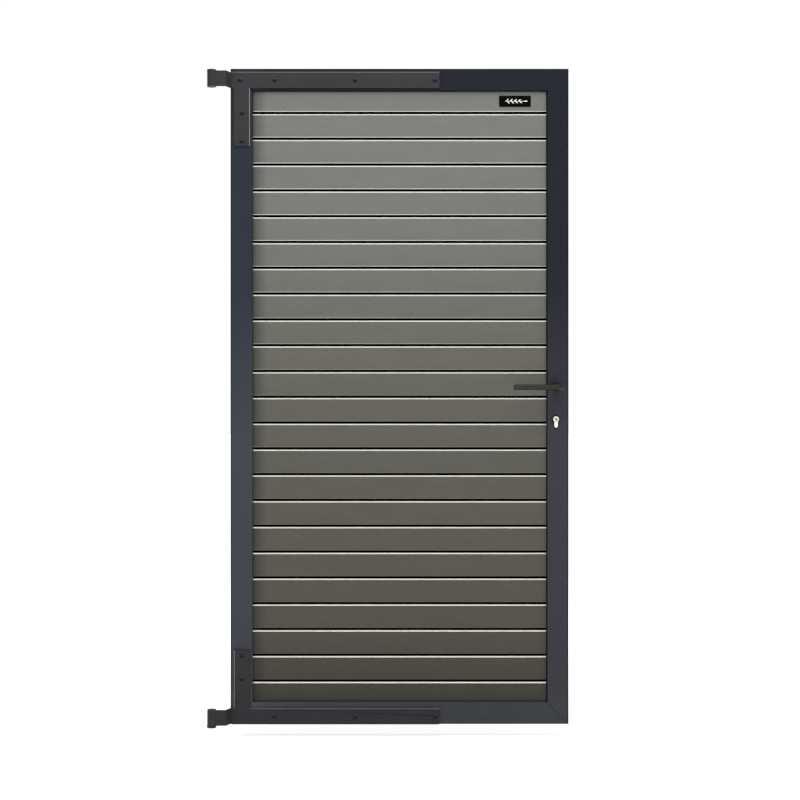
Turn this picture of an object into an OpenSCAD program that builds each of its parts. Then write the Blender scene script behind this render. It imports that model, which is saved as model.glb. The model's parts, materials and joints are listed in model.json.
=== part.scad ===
// Garden gate: a slatted leaf on strap hinges, with a mortice lock.
// X runs from the hinges to the lock edge, Y from front to back and Z up.
// The origin is on the lower pintle's stud, where it meets the front of the hinge post.

/* [Leaf] */
// Width of the leaf
leaf_w = 980; // [860:1:1100]
// Height of the leaf
leaf_h = 1900; // [1600:75:1900]
// Width of the frame's front face
frame_w = 64; // [64:0.5:70]
// Depth of the frame
frame_d = 40; // [38:0.5:46]
// Wall thickness of the frame profiles
wall_t = 2; // [1.6:0.1:2.4]
// Width of the stop lip round the front of the frame
lip_w = 15; // [13:0.5:16]
// Thickness of the stop lip
lip_t = 3; // [2:0.1:4]
// Depth of the groove that holds the slats
groove_d = 11.9; // [10:0.1:12]

/* [Slats] */
// Distance from one slat to the next
slat_pitch = 75; // [72:1:77]
// Thickness of a slat
slat_t = 20; // [16:0.5:20]
// Open joint between two slats
slat_gap = 5.8; // [2:0.1:6]
// Bevel along the upper front edge of a slat
slat_bevel = 3.4; // [1:0.1:4]

/* [Hinges] */
// Width of the bracket arms
arm_w = 47; // [44:0.5:50]
// Length of the level arm, from the leaf's edge
arm_level = 606; // [400:1:700]
// Length of the upright arm
arm_upright = 215; // [180:1:300]
// Thickness of the brackets
arm_t = 5; // [4:0.1:6]
// Width of the strap that is rolled into the eye
strap_w = 45; // [40:0.5:45]
// Distance of the upper bracket below the top of the leaf
upper_inset = 10; // [0:0.5:12]
// Distance from the leaf's edge to the hinge axis
hinge_reach = 52; // [48:1:70]
// Distance from the post's face forward to the hinge axis
hinge_forward = 24; // [24:1:34]
// Radius of the pintle pins and studs
pin_r = 8; // [7:0.5:8]
// Length of a stud behind the post's face
stud_len = 40; // [30:1:160]

/* [Lock] */
// Height of the lever axis above the foot of the leaf
lever_height = 976; // [900:1:1050]
// Distance from the lever axis down to the cylinder axis
lever_to_cylinder = 92; // [92:1:94]
// Distance from the leaf's edge to the lock's axes
lock_inset = 37; // [36:0.5:38]
// Length of the lever, from its axis to the end of the grip
lever_len = 125; // [110:1:135]
// Distance from the leaf's face to the middle of the grip
lever_reach = 46; // [40:1:55]
// Radius of the grip
grip_r = 8; // [7:0.1:9]
// Length of the lock cylinder
cylinder_len = 60; // [60:1:80]
// Turn of the keyway from upright
keyway_turn = 60; // [0:1:90]

/* [Badge] */
// Width of the badge
badge_w = 92; // [70:1:100]
// Height of the badge
badge_h = 32; // [20:1:36]
// Distance from the leaf's lock edge to the middle of the badge
badge_inset = 155; // [130:1:300]

/* [Hidden] */

// Margin that a cut runs past a face, and the play between two fixed pieces
over = 1;
play = 0.3;
// Radial clearance of a shaft in its bore
running = 0.08;

// Place of the leaf's front lower corner
strap_mid = arm_w - strap_w / 2;
leaf_at = [hinge_reach, -lip_t, -strap_mid];
hinge_y = -hinge_forward - leaf_at.y;
mitre_gap = 0.3;
chamber_in = lip_w + wall_t;
chamber_out = frame_w - groove_d - wall_t;

groove_w = slat_t + 2 * play;
groove_y = (frame_d - groove_w) / 2;
slat_y = groove_y + play;
slat_end_gap = 2.5;
slat_chamfer = 1;
stack_z = frame_w - groove_d + play;
stack_h = leaf_h - 2 * stack_z;
slat_count = ceil(stack_h / slat_pitch);
tongue_t = 6;
tongue_in = 4;

cleat_leg = 80;

bolt_r = 4;
bolt_head_r = 7;
bolt_head_h = 4.4;
bolt_hole_r = 4.2;
bolt_socket_af = 5;
bolt_socket_d = 2.6;
nut_af = 13;
nut_h = 6.5;
nut_dome_r = 6.2;
washer_r = 8;
washer_t = 1.6;
bolt_end_inset = 14.5;
level_bolts = [128, 361, 593];
corner_bolt = 29;
upper_bolt_gap = 82;
lower_bolt_gap = 68;

eye_r = pin_r + running + arm_t;
eye_seam = 0.8;
crank_start = -9;
crank_end = 3;
weld_end = 30;
collar_r = 13.7;
lower_collar_h = 6.2;
upper_collar_h = 3;
collar_chamfer = 1.2;
pintle_washer_t = 1.5;
neck_w = 18;
shoulder_t = 5;
pin_chamfer = 1;

lock_z = lever_height - lever_to_cylinder;
lock_y = frame_d / 2;
case_front = lock_inset - lip_w;
case_back = lock_inset - chamber_out + 0.5;
case_t = 16;
case_wall = 1.5;
case_low = -38;
case_high = 142;
faceplate_t = 3;
faceplate_w = 22;
faceplate_low = -58;
faceplate_high = 162;
face_out = case_front + faceplate_t;
pillar_r = 2.5;
rivet_r = 1.4;
pillars = [[12, -31], [14, 66], [-6, 135.5]];

screw_r = 2.5;
screw_head_r = 5;
screw_head_h = 2.5;
plate_screws = [faceplate_low + 10, faceplate_high - 10];
plate_screw_len = 12;
cylinder_screw_z = -19.5;
cylinder_screw_len = 31;

latch_throw = 10;
latch_t = 12;
latch_h = 20;
latch_z = 28.5;
latch_back = 1.95;
latch_leg_w = 3;
latch_leg_low = 13;
latch_spring_r = 2.6;
latch_pocket_r = 3.4;
latch_pocket_d = 18;
dead_back = -8;
dead_t = 10;
dead_low = 20;
dead_h = 30;

hub_r = 9;
journal_r = 8;
hub_t = 12;
finger_w = 6;
finger_len = 17;
finger_t = 8;
finger_low = -2.5;
finger_lean = 35;
square_w = 8;
square_hole = 8.2;
spindle_in = 32;

neck_r = 9;
neck_foot = 1.5;
knuckle_r = 11.6;
knuckle_arc = 27.5;
knuckle_back = 19;
grip_round = 3;
bush_r = 12;
bush_h = 4.5;
bush_base = 1.2;
bush_hole_r = 6.2;
stile_hole_r = 8;
grub_y = 12;
grub_socket_af = 2.5;

profile_r = 8.5;
web_r = 5;
web_z = -19.5;
plug_r = 6.5;
plug_clear = 0.05;
plug_gap = 5;
cam_t = 9.2;
cam_r = 14.5;
cam_hub_r = 8.3;
cam_w = 8;
cam_swing_r = 15;
cam_lean = 150;
keyway_w = 2.4;
keyway_h = 8;
keyway_d = 22;
pin_hole_r = 1.5;
key_pin_r = 1.4;
key_pin_in = 2.6;
driver_end = 12.5;
chamber_end = 21.5;
pin_pitch = 4;
pins_per_side = 5;
first_pin = 9;

badge_t = 2;
badge_corner = 3;
badge_z = frame_w + 29;

powder = [0.21, 0.22, 0.25];
black = [0.15, 0.14, 0.14];
slate = [0.42, 0.42, 0.38];
steel = [0.62, 0.62, 0.63];
zinc = [0.55, 0.56, 0.57];
nickel = [0.85, 0.83, 0.75];
nylon = [0.12, 0.12, 0.13];

function two_digits(i) = str(i < 10 ? "0" : "", i);
function slat_name(i) = str("slat_", two_digits(i));

// Bolt places on the leaf's front, as [x, distance in from the rail's outer edge]
function bracket_bolts(inset, gap, corner) = concat(
    corner ? [[corner_bolt, inset + arm_w / 2]] : [],
    [for (x = level_bolts) [x, inset + arm_w / 2]],
    [for (back = [0, gap])
        [upper_inset + arm_w / 2, inset + arm_upright - bolt_end_inset - back]]
);
upper_bolts = bracket_bolts(upper_inset, upper_bolt_gap, true);
lower_bolts = bracket_bolts(0, lower_bolt_gap, false);

// ---- Placing ----

// Leaf frame of reference: its front lower corner on the hinge side
module on_leaf() {
    translate(leaf_at) children();
}

// The same place on the upper half of the leaf, measured down from its top
module from_top() {
    translate([0, 0, leaf_h]) mirror([0, 0, 1]) children();
}

// Lock frame of reference: the cylinder axis in the middle of the frame's depth
module on_lock() {
    on_leaf() translate([leaf_w - lock_inset, lock_y, lock_z]) children();
}

// Lever axis in the lock's frame of reference
module on_lever_axis() {
    on_lock() translate([0, 0, lever_to_cylinder]) children();
}

// Front of the leaf at the lever axis, or its mirror image at the back
module lever_side(front) {
    on_lever_axis() mirror([0, front ? 0 : 1, 0]) translate([0, -lock_y, 0]) children();
}

// A solid drawn along +Z, laid along +Y
module along_y() {
    rotate([-90, 0, 0]) children();
}

// An outline in X and Z, made t thick from y towards the back
module upright_plate(y, t) {
    translate([0, y + t, 0]) rotate([90, 0, 0]) linear_extrude(t) children();
}

module at_bolts(places) {
    for (p = places)
        translate([p[0], 0, p[1]]) children();
}

// ---- Shared shapes ----

module round_rect(w, h, r) {
    translate([r, 0]) square([w - 2 * r, h]);
    translate([0, r]) square([w, h - 2 * r]);
    for (x = [r, w - r], y = [r, h - r])
        translate([x, y]) circle(r, $fn = 32);
}

module hexagon(across_flats) {
    circle(across_flats / 2 / cos(30), $fn = 6);
}

// Ring of points round one place on a wire: outward and sideways unit vectors
function wire_ring(at, out, side, r, sides) =
    [for (k = [0 : sides - 1])
        at + r * (cos(360 * k / sides) * out + sin(360 * k / sides) * side)];

// Coil of round wire along +Z, with straight legs of the given length
module coil(r, wire_r, pitch, turns, leg = 0, steps = 12, sides = 6) {
    last = round(turns * steps);
    turn = 360 / steps;
    up = [0, 0, 1];
    outs = [for (i = [0 : last]) [cos(i * turn), sin(i * turn), 0]];
    ats = [for (i = [0 : last]) r * outs[i] + up * pitch * i / steps];
    first_way = [0, -1, 0];
    last_way = [-sin(last * turn), cos(last * turn), 0];
    ring_at = concat(
        leg > 0 ? [ats[0] + leg * first_way] : [],
        ats,
        leg > 0 ? [ats[last] + leg * last_way] : []
    );
    ring_out = concat(leg > 0 ? [outs[0]] : [], outs, leg > 0 ? [outs[last]] : []);
    rings = len(ring_at);
    points = [for (i = [0 : rings - 1])
        each wire_ring(ring_at[i], ring_out[i], up, wire_r, sides)];
    faces = concat(
        [[for (k = [0 : sides - 1]) k]],
        [for (i = [0 : rings - 2], k = [0 : sides - 1]) let (next = (k + 1) % sides)
            each [[i * sides + k, (i + 1) * sides + k, (i + 1) * sides + next],
                  [i * sides + k, (i + 1) * sides + next, i * sides + next]]],
        [[for (k = [sides - 1 : -1 : 0]) (rings - 1) * sides + k]]
    );
    polyhedron(points, faces);
}

// Countersunk screw, its head's face at the origin and its shank along -X
module countersunk_screw(length) {
    rotate([0, -90, 0]) difference() {
        union() {
            cylinder(r1 = screw_head_r, r2 = screw_r, h = screw_head_h, $fn = 40);
            cylinder(r = screw_r, h = length, $fn = 40);
        }
        translate([0, 0, -over]) linear_extrude(over + 1.8) hexagon(3);
    }
}

module countersunk_hole(length) {
    rotate([0, -90, 0]) {
        cylinder(r1 = screw_head_r + 0.1, r2 = screw_r + 0.1, h = screw_head_h, $fn = 40);
        translate([0, 0, -over]) cylinder(r = screw_r + 0.1, h = length + over, $fn = 40);
    }
}

// ---- Pintles ----

// Pin, collar, neck, shoulder and stud of a pintle that points up
module pintle(collar_h) {
    eye_low = -strap_w / 2;
    collar_top = eye_low - play - pintle_washer_t;
    collar_low = collar_top - collar_h;
    neck_front = -hinge_forward + eye_r + 2 * play;
    pin_top = strap_w / 2 - pin_chamfer;
    translate([0, -hinge_forward, 0]) {
        translate([0, 0, collar_low])
            cylinder(r1 = collar_r - collar_chamfer, r2 = collar_r, h = collar_chamfer, $fn = 64);
        translate([0, 0, collar_low + collar_chamfer])
            cylinder(r = collar_r, h = collar_h - collar_chamfer, $fn = 64);
        translate([0, 0, collar_top - over])
            cylinder(r = pin_r, h = pin_top - pin_chamfer - collar_top + over, $fn = 64);
        translate([0, 0, pin_top - pin_chamfer])
            cylinder(r1 = pin_r, r2 = pin_r - pin_chamfer, h = pin_chamfer, $fn = 64);
    }
    translate([-neck_w / 2, -hinge_forward, collar_low])
        cube([neck_w, hinge_forward - shoulder_t / 2, collar_h]);
    translate([-neck_w / 2, neck_front, collar_low])
        cube([neck_w, -neck_front - shoulder_t / 2, neck_w / 2 - collar_low]);
    along_y() {
        translate([0, 0, -shoulder_t]) cylinder(r = collar_r, h = shoulder_t, $fn = 64);
        cylinder(r = pin_r, h = stud_len - pin_chamfer, $fn = 64);
        translate([0, 0, stud_len - pin_chamfer])
            cylinder(r1 = pin_r, r2 = pin_r - pin_chamfer, h = pin_chamfer, $fn = 64);
    }
}

// Carries the upper pintle's pieces, which hang the other way up
module at_upper_pintle() {
    translate([0, 0, leaf_h - upper_inset - 2 * strap_mid]) mirror([0, 0, 1]) children();
}

module lower_pintle() {
    color(black) pintle(lower_collar_h);
}

module upper_pintle() {
    color(black) at_upper_pintle() pintle(upper_collar_h);
}

module pintle_washer() {
    translate([0, -hinge_forward, -strap_w / 2 - play - pintle_washer_t]) difference() {
        cylinder(r = collar_r, h = pintle_washer_t, $fn = 64);
        translate([0, 0, -over])
            cylinder(r = pin_r + play, h = pintle_washer_t + 2 * over, $fn = 64);
    }
}

module pintle_washers() {
    color(nylon) {
        pintle_washer();
        at_upper_pintle() pintle_washer();
    }
}

// ---- Frame ----

// Section of the frame profile: x in from the outer edge, y back from the front
module frame_section() {
    difference() {
        union() {
            square([chamber_in, lip_t]);
            translate([lip_w, 0]) square([frame_w - lip_w, frame_d]);
        }
        difference() {
            translate([chamber_in, wall_t])
                square([frame_w - wall_t - chamber_in, frame_d - 2 * wall_t]);
            translate([chamber_out, groove_y - wall_t])
                square([groove_d + wall_t, groove_w + 2 * wall_t]);
        }
        translate([frame_w - groove_d, groove_y]) square([groove_d + over, groove_w]);
    }
}

// What a mitre takes off the foot of a member that stands on z = 0
module mitre_cut() {
    far = frame_w + over;
    upright_plate(-over, frame_d + 2 * over)
        polygon([[-over, -2 * over], [far, -2 * over], [far, far + mitre_gap / 2],
            [-over, mitre_gap / 2 - over]]);
}

module frame_member(length) {
    difference() {
        linear_extrude(length) frame_section();
        mitre_cut();
        translate([0, 0, length]) mirror([0, 0, 1]) mitre_cut();
    }
}

module rail() {
    mirror([1, 0, -1]) frame_member(leaf_w);
}

module bolt_holes(places) {
    at_bolts(places) translate([0, -over, 0])
        along_y() cylinder(r = bolt_hole_r, h = frame_d + 2 * over, $fn = 40);
}

module hinge_stile() {
    color(powder) on_leaf() difference() {
        frame_member(leaf_h);
        bolt_holes(lower_bolts);
        from_top() bolt_holes(upper_bolts);
    }
}

module bottom_rail() {
    color(powder) on_leaf() difference() {
        rail();
        bolt_holes(lower_bolts);
    }
}

module top_rail() {
    color(powder) on_leaf() from_top() difference() {
        rail();
        bolt_holes(upper_bolts);
    }
}

module lock_stile() {
    color(powder) difference() {
        on_leaf() translate([leaf_w, 0, 0]) mirror([1, 0, 0]) frame_member(leaf_h);
        on_lock() {
            translate([case_front - wall_t - over, -case_t / 2 - play, case_low - play])
                cube([wall_t + 2 * over, case_t + 2 * play,
                    case_high - case_low + 2 * play]);
            for (z = plate_screws)
                translate([face_out, 0, z]) countersunk_hole(plate_screw_len);
            upright_plate(-frame_d, 2 * frame_d) euro_outline(play);
            translate([case_back - over - wall_t - 0.5, -cam_t / 2 - over, -profile_r])
                cube([wall_t + 1.5, cam_t + 2 * over, 2 * profile_r]);
        }
        on_lever_axis() translate([0, -frame_d, 0])
            along_y() cylinder(r = stile_hole_r, h = 2 * frame_d, $fn = 48);
    }
}

module corner_cleat() {
    low = chamber_in + play;
    wide = chamber_out - chamber_in - 2 * play;
    upright_plate(wall_t + play, frame_d - 2 * wall_t - 2 * play)
        polygon([[low, low], [cleat_leg + low, low], [cleat_leg + low, low + wide],
            [low + wide, low + wide], [low + wide, cleat_leg + low],
            [low, cleat_leg + low]]);
}

module corner_cleats() {
    color(zinc) on_leaf() difference() {
        for (right = [0, 1], top = [0, 1])
            translate([right * leaf_w, 0, top * leaf_h])
                mirror([right, 0, 0]) mirror([0, 0, top]) corner_cleat();
        from_top() bolt_holes(upper_bolts);
    }
}

// ---- Slats ----

// Slat section: x back from the front, y up; a tongue above, a groove below
module slat_section(height, with_tongue) {
    mid = slat_t / 2;
    half_groove = tongue_t / 2 + play;
    groove_top = tongue_in + 1;
    difference() {
        union() {
            polygon([[0, slat_chamfer], [slat_chamfer, 0], [slat_t - slat_chamfer, 0],
                [slat_t, slat_chamfer], [slat_t, height - slat_chamfer],
                [slat_t - slat_chamfer, height], [slat_bevel, height],
                [0, height - slat_bevel]]);
            if (with_tongue)
                translate([mid - tongue_t / 2, height - over])
                    square([tongue_t, over + slat_gap + tongue_in]);
        }
        translate([mid - half_groove, -over]) square([2 * half_groove, groove_top + over]);
    }
}

module slat(i) {
    from_end = frame_w - groove_d + slat_end_gap;
    low = (slat_count - i) * slat_pitch;
    height = min(slat_pitch - slat_gap, stack_h - low);
    color(slate) on_leaf() translate([from_end, slat_y, stack_z + low])
        rotate([90, 0, 90]) linear_extrude(leaf_w - 2 * from_end)
            slat_section(height, i > 1);
}

// ---- Hinges ----

// Cranked strap seen from above, from the hinge axis to its weld on the plate
module strap_section() {
    front = hinge_y - eye_r;
    drop = -arm_t - front;
    run = crank_end - crank_start;
    shift = arm_t * (sqrt(run * run + drop * drop) - run) / drop;
    difference() {
        union() {
            polygon([[-hinge_reach, front], [crank_start, front], [crank_end, -arm_t],
                [weld_end, -arm_t], [weld_end, 0], [crank_end - shift, 0],
                [crank_start - shift, front + arm_t], [-hinge_reach, front + arm_t]]);
            translate([-hinge_reach, hinge_y]) circle(eye_r, $fn = 96);
        }
        translate([-hinge_reach, hinge_y]) {
            circle(pin_r + running, $fn = 96);
            rotate(-12) square([eye_r + over, eye_seam]);
        }
    }
}

// Bracket in the lower corner of the leaf, its plate the given distance up
module bracket(inset, places) {
    difference() {
        union() {
            translate([0, 0, inset + arm_w - strap_w])
                linear_extrude(strap_w) strap_section();
            upright_plate(-arm_t, arm_t) {
                translate([crank_end, inset]) round_rect(arm_level - crank_end, arm_w, 3);
                translate([crank_end, inset]) square([arm_w, arm_w]);
                translate([upper_inset, inset]) round_rect(arm_w, arm_upright, 3);
            }
        }
        translate([0, -arm_t, 0]) bolt_holes(places);
    }
}

module lower_hinge() {
    color(black) on_leaf() bracket(0, lower_bolts);
}

module upper_hinge() {
    color(black) on_leaf() from_top() bracket(upper_inset, upper_bolts);
}

// Domed hexagon-socket bolt, the underside of its head at the origin, along +Y
module domed_bolt() {
    ball_r = (bolt_head_r * bolt_head_r + bolt_head_h * bolt_head_h) / 2 / bolt_head_h;
    length = arm_t + frame_d + washer_t + nut_h + 2;
    along_y() difference() {
        union() {
            intersection() {
                translate([0, 0, ball_r - bolt_head_h]) sphere(ball_r, $fn = 64);
                translate([0, 0, -bolt_head_h]) cylinder(r = bolt_head_r, h = bolt_head_h, $fn = 64);
            }
            cylinder(r = bolt_r, h = length, $fn = 40);
        }
        translate([0, 0, -bolt_head_h - over])
            linear_extrude(bolt_socket_d + over) hexagon(bolt_socket_af);
    }
}

module lower_hinge_bolts() {
    color(black) on_leaf() translate([0, -arm_t, 0]) at_bolts(lower_bolts) domed_bolt();
}

module upper_hinge_bolts() {
    color(black) on_leaf() translate([0, -arm_t, 0])
        from_top() at_bolts(upper_bolts) domed_bolt();
}

// Domed cap nut on a washer, standing on the back of the frame
module cap_nut() {
    bore = washer_t + nut_h + 3;
    along_y() difference() {
        union() {
            cylinder(r = washer_r, h = washer_t, $fn = 48);
            translate([0, 0, washer_t]) linear_extrude(nut_h) hexagon(nut_af);
            translate([0, 0, washer_t + nut_h]) sphere(nut_dome_r, $fn = 48);
        }
        translate([0, 0, -over]) cylinder(r = bolt_r + running, h = bore + over, $fn = 40);
        translate([0, 0, -nut_dome_r]) cylinder(r = nut_dome_r, h = nut_dome_r, $fn = 48);
    }
}

module hinge_nuts() {
    color(zinc) on_leaf() translate([0, frame_d, 0]) {
        at_bolts(lower_bolts) cap_nut();
        from_top() at_bolts(upper_bolts) cap_nut();
    }
}

// ---- Lock case ----

module case_pillars(r, y, t) {
    for (p = pillars)
        translate([p[0], y, p[1]]) along_y() cylinder(r = r, h = t, $fn = 32);
}

// Holes that the cylinder and the follower's journals pass through
module case_openings() {
    upright_plate(-case_t, 2 * case_t) euro_outline(play);
    translate([0, -case_t, lever_to_cylinder]) along_y()
        cylinder(r = journal_r + running, h = 2 * case_t, $fn = 64);
}

// Openings in the lock's edge for the latch, the dead bolt and the cylinder screw
module edge_openings() {
    far = face_out + over;
    translate([0, -latch_t / 2 - play, lever_to_cylinder + latch_z - latch_h / 2 - play])
        cube([far, latch_t + 2 * play, latch_h + 2 * play]);
    translate([0, -dead_t / 2 - play, dead_low - play])
        cube([far, dead_t + 2 * play, dead_h + 2 * play]);
    translate([face_out, 0, cylinder_screw_z]) countersunk_hole(cylinder_screw_len);
}

module lock_case() {
    inner_t = case_t - 2 * case_wall;
    color(zinc) on_lock() {
        difference() {
            translate([case_back, case_wall - case_t / 2, case_low])
                cube([case_front - case_back, case_t - case_wall, case_high - case_low]);
            translate([case_back + case_wall, -case_t / 2, case_low + case_wall])
                cube([case_front - case_back - 2 * case_wall, case_t - case_wall,
                    case_high - case_low - 2 * case_wall]);
            case_openings();
            edge_openings();
            translate([case_back - over, -cam_t / 2 - over, -cam_r])
                cube([case_wall + 2 * over, cam_t + 2 * over, 2 * cam_r]);
        }
        case_pillars(pillar_r, -inner_t / 2, inner_t + case_wall / 2);
        case_pillars(rivet_r, -case_t / 2, case_t / 2);
    }
}

module lock_cover() {
    color(zinc) on_lock() difference() {
        translate([case_back, -case_t / 2, case_low])
            cube([case_front - case_back, case_wall, case_high - case_low]);
        case_openings();
        case_pillars(rivet_r + running, -case_t, case_t);
    }
}

module faceplate() {
    color(steel) on_lock() difference() {
        translate([case_front, -faceplate_w / 2, faceplate_low])
            cube([faceplate_t, faceplate_w, faceplate_high - faceplate_low]);
        edge_openings();
        for (z = plate_screws)
            translate([face_out, 0, z]) countersunk_hole(plate_screw_len);
    }
}

module faceplate_screws() {
    color(steel) on_lock() for (z = plate_screws)
        translate([face_out, 0, z]) countersunk_screw(plate_screw_len);
}

module cylinder_screw() {
    color(steel) on_lock() translate([face_out, 0, cylinder_screw_z])
        countersunk_screw(cylinder_screw_len);
}

// ---- Bolts of the lock ----

// Latch with its nose bevelled on the closing side, and a leg that the follower pulls
module latch_bolt() {
    tip = face_out + latch_throw;
    half = latch_t / 2;
    color(steel) on_lever_axis() difference() {
        union() {
            translate([0, 0, latch_z - latch_h / 2]) linear_extrude(latch_h)
                polygon([[latch_back, -half], [tip, -half], [tip, 3 - half],
                    [face_out + 1, half], [latch_back, half]]);
            translate([latch_back, finger_low, latch_leg_low])
                cube([latch_leg_w, finger_t, latch_z - latch_leg_low]);
        }
        translate([latch_back - over, 0, latch_z])
            rotate([0, 90, 0]) cylinder(r = latch_pocket_r, h = latch_pocket_d + over, $fn = 40);
    }
}

module latch_spring() {
    start = case_back + case_wall + play;
    pitch = 3;
    reach = latch_back + latch_pocket_d - play - start;
    color(steel) on_lever_axis() translate([start + play, 0, latch_z])
        rotate([0, 90, 0]) coil(latch_spring_r, 0.4, pitch, (reach - 1) / pitch);
}

module dead_bolt() {
    tail = 8;
    color(steel) on_lock() {
        translate([dead_back, -dead_t / 2, dead_low])
            cube([face_out - dead_back, dead_t, dead_h]);
        translate([dead_back, -6.3, dead_low - 10]) cube([tail, 1.1, 14]);
        translate([dead_back, -6.3, dead_low]) cube([tail, 2, 4]);
    }
}

// Hub on its journals, with the finger that draws the latch
module follower() {
    color(steel) on_lever_axis() difference() {
        union() {
            translate([0, -hub_t / 2, 0]) along_y() cylinder(r = hub_r, h = hub_t, $fn = 64);
            translate([0, -case_t / 2, 0])
                along_y() cylinder(r = journal_r, h = case_t, $fn = 64);
            rotate([0, finger_lean, 0]) translate([-finger_w / 2, finger_low, 0])
                cube([finger_w, finger_t, finger_len]);
        }
        translate([-square_hole / 2, -case_t, -square_hole / 2])
            cube([square_hole, 2 * case_t, square_hole]);
    }
}

module follower_spring() {
    color(steel) on_lever_axis() translate([0, -5.8, 0]) along_y() rotate(90)
        coil(10.3, 0.6, 1.45, 1.75, leg = 5, steps = 16);
}

// ---- Levers ----

module lever_spindle() {
    reach = lock_y + spindle_in;
    color(steel) on_lever_axis() translate([-square_w / 2, -reach, -square_w / 2])
        cube([square_w, 2 * reach, square_w]);
}

// Half outline of the knuckle and grip, turned about the grip's axis
module lever_outline() {
    intersection() {
        translate([knuckle_r - knuckle_arc, 0]) circle(knuckle_arc, $fn = 180);
        translate([0, -knuckle_back]) square([knuckle_r + over, 2 * knuckle_back]);
    }
    translate([0, -lever_len]) {
        translate([0, grip_round]) square([grip_r, lever_len - grip_round]);
        square([grip_r - grip_round, lever_len]);
        translate([grip_r - grip_round, grip_round]) circle(grip_round, $fn = 48);
    }
}

// Front lever, its neck standing on the face of the leaf at the origin
module lever() {
    difference() {
        union() {
            translate([0, -lever_reach, 0])
                rotate([0, 90, 0]) rotate_extrude($fn = 96) lever_outline();
            translate([0, -lever_reach, 0])
                along_y() cylinder(r = neck_r, h = lever_reach - neck_foot, $fn = 64);
        }
        translate([-square_hole / 2, -spindle_in - over, -square_hole / 2])
            cube([square_hole, spindle_in + over, square_hole]);
        translate([0, -grub_y, -neck_r - over])
            cylinder(r = screw_r + 0.05, h = neck_r, $fn = 32);
    }
}

module front_lever() {
    color(black) lever_side(true) lever();
}

module rear_lever() {
    color(black) lever_side(false) lever();
}

module lever_grub_screws() {
    length = neck_r - square_w / 2 - 0.6;
    color(steel) for (front = [true, false])
        lever_side(front) translate([0, -grub_y, 0.4 - neck_r]) difference() {
            cylinder(r = screw_r, h = length, $fn = 32);
            translate([0, 0, -over]) linear_extrude(over + 2) hexagon(grub_socket_af);
        }
}

module lever_bushes() {
    color(nylon) for (front = [true, false])
        lever_side(front) translate([0, -bush_h, 0]) along_y() difference() {
            union() {
                cylinder(r = bush_r, h = bush_h, $fn = 64);
                cylinder(r = stile_hole_r - 0.1, h = bush_h + wall_t, $fn = 64);
            }
            translate([0, 0, -over])
                cylinder(r = neck_r + running, h = bush_h - bush_base + over, $fn = 64);
            cylinder(r = bush_hole_r, h = bush_h + wall_t + over, $fn = 64);
        }
}

// ---- Cylinder ----

// Outline of a euro-profile cylinder in X and Z, grown by the given play
module euro_outline(grow) {
    circle(profile_r + grow, $fn = 72);
    translate([-web_r - grow, web_z]) square([2 * (web_r + grow), -web_z]);
    translate([0, web_z]) circle(web_r + grow, $fn = 48);
}

// Pin places along one half of the cylinder, measured from the lock's middle
module at_pins(front) {
    for (i = [0 : pins_per_side - 1])
        translate([0, (front ? -1 : 1) * (first_pin + i * pin_pitch), 0]) children();
}

// A pin or pin chamber between two radii, pointing down
module pin_down(r, from, to) {
    translate([0, 0, -to]) cylinder(r = r, h = to - from, $fn = 24);
}

module cylinder_body() {
    color(nickel) on_lock() difference() {
        upright_plate(-cylinder_len / 2, cylinder_len) euro_outline(0);
        translate([0, -cylinder_len, 0]) along_y()
            cylinder(r = plug_r + plug_clear, h = 2 * cylinder_len, $fn = 72);
        translate([0, -plug_gap, 0]) along_y()
            cylinder(r = cam_swing_r, h = 2 * plug_gap, $fn = 72);
        for (front = [true, false])
            at_pins(front) pin_down(pin_hole_r, plug_r - over, chamber_end);
        translate([face_out, 0, cylinder_screw_z]) rotate([0, -90, 0])
            cylinder(r = screw_r + 0.05, h = 2 * face_out, $fn = 40);
    }
}

// Front plug with its keyway and pin holes
module plug() {
    back = cylinder_len / 2;
    rotate([0, -keyway_turn, 0]) difference() {
        translate([0, -back, 0]) along_y()
            cylinder(r = plug_r, h = back - plug_gap, $fn = 72);
        translate([-keyway_w / 2, -back - over, -keyway_h * 0.62])
            cube([keyway_w, keyway_d + over, keyway_h]);
        translate([-keyway_w, -back - over, -keyway_h * 0.2])
            cube([keyway_w, keyway_d + over, keyway_h * 0.3]);
        at_pins(true) pin_down(pin_hole_r, 0, plug_r + over);
    }
}

module front_plug() {
    color(nickel) on_lock() plug();
}

module rear_plug() {
    color(nickel) on_lock() mirror([0, 1, 0]) plug();
}

module cam() {
    color(steel) on_lock() rotate([0, cam_lean, 0]) translate([0, -cam_t / 2, 0])
        along_y() linear_extrude(cam_t) {
            circle(cam_hub_r, $fn = 72);
            intersection() {
                circle(cam_r, $fn = 72);
                translate([-cam_w / 2, -cam_r]) square([cam_w, cam_r]);
            }
        }
}

module key_pins() {
    color(nickel) on_lock() for (front = [true, false])
        rotate([0, -keyway_turn, 0]) at_pins(front)
            pin_down(key_pin_r, key_pin_in, plug_r - 0.1);
}

module driver_pins() {
    color(steel) on_lock() for (front = [true, false])
        at_pins(front) pin_down(key_pin_r, plug_r + 0.2, driver_end);
}

module pin_springs() {
    room = chamber_end - driver_end;
    pitch = 2.4;
    color(steel) on_lock() for (front = [true, false])
        at_pins(front) translate([0, 0, -chamber_end + 0.4])
            coil(1.1, 0.2, pitch, (room - 0.8) / pitch, steps = 8, sides = 4);
}

// ---- Badge ----

module badge() {
    color(black) on_leaf() from_top()
        translate([leaf_w - badge_inset - badge_w / 2, 0, badge_z - badge_h / 2])
            upright_plate(slat_y - badge_t, badge_t) round_rect(badge_w, badge_h, badge_corner);
}

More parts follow.
